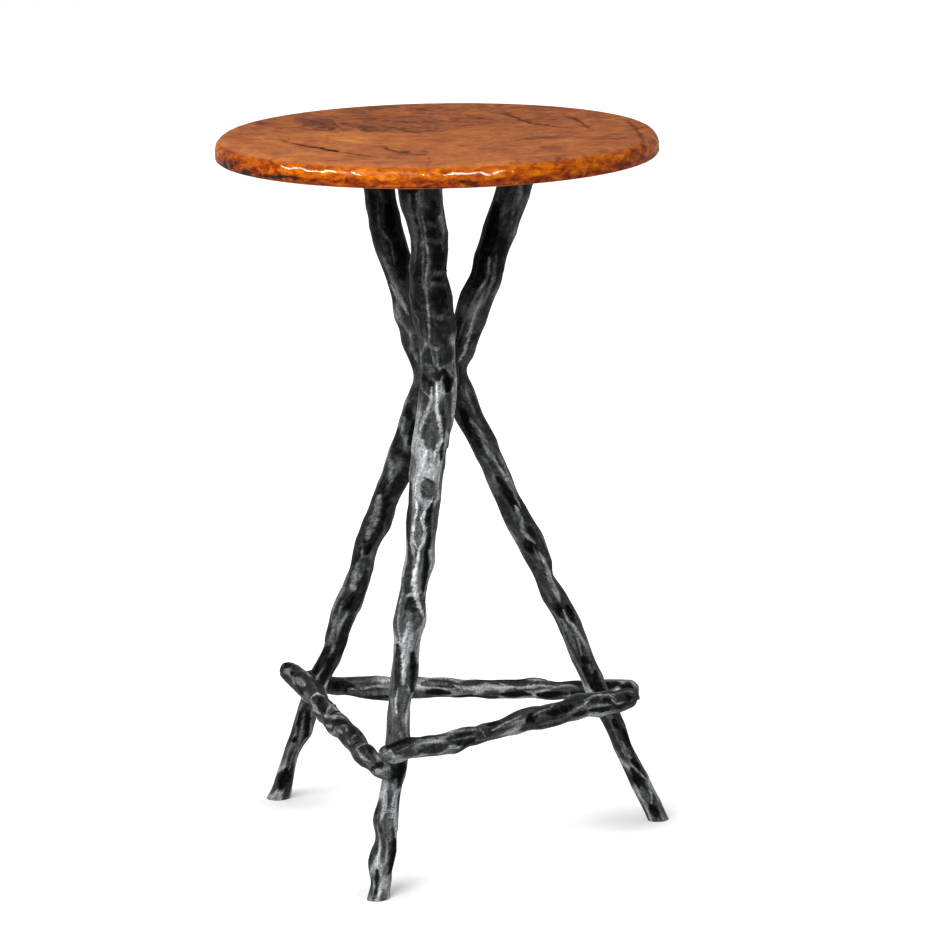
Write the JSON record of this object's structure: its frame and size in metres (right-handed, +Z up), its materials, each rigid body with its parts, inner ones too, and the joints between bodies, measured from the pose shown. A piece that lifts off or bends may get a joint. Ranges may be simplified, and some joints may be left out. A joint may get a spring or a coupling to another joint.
{
  "type": "round accent table",
  "caption": "Small round table with a glossy amber wooden slab on an open tripod of hammered dark iron bars, joined at a waist and by low stretchers.",
  "frame": {"origin": "on the floor, under the middle of the round top", "axes": "+Z up; -Y towards the front leg and the viewer, +X to the viewer's right"},
  "size_m": [0.3734, 0.3682, 0.6096],
  "materials": {
    "amber_wood": "amber gloss lacquer over figured wood",
    "forged_iron": "blackened, hammered, rubbed bright on the ridges",
    "plate_steel": "satin black",
    "screw_steel": "plain zinc"
  },
  "bodies": {
    "root": {"table_top": "amber_wood", "leg_front": "forged_iron", "leg_left": "forged_iron", "leg_right": "forged_iron", "stretcher_front": "forged_iron", "stretcher_left": "forged_iron", "stretcher_rear": "forged_iron", "stretcher_front_weld_front": "forged_iron", "stretcher_front_weld_right": "forged_iron", "stretcher_left_weld_left": "forged_iron", "stretcher_left_weld_front": "forged_iron", "stretcher_rear_weld_right": "forged_iron", "stretcher_rear_weld_left": "forged_iron", "waist_weld_front_left": "forged_iron", "waist_weld_left_right": "forged_iron", "waist_weld_right_front": "forged_iron", "plate_weld_front": "forged_iron", "plate_weld_left": "forged_iron", "plate_weld_right": "forged_iron", "top_plate": "plate_steel", "plate_screws": "screw_steel"}
  },
  "joints": []
}
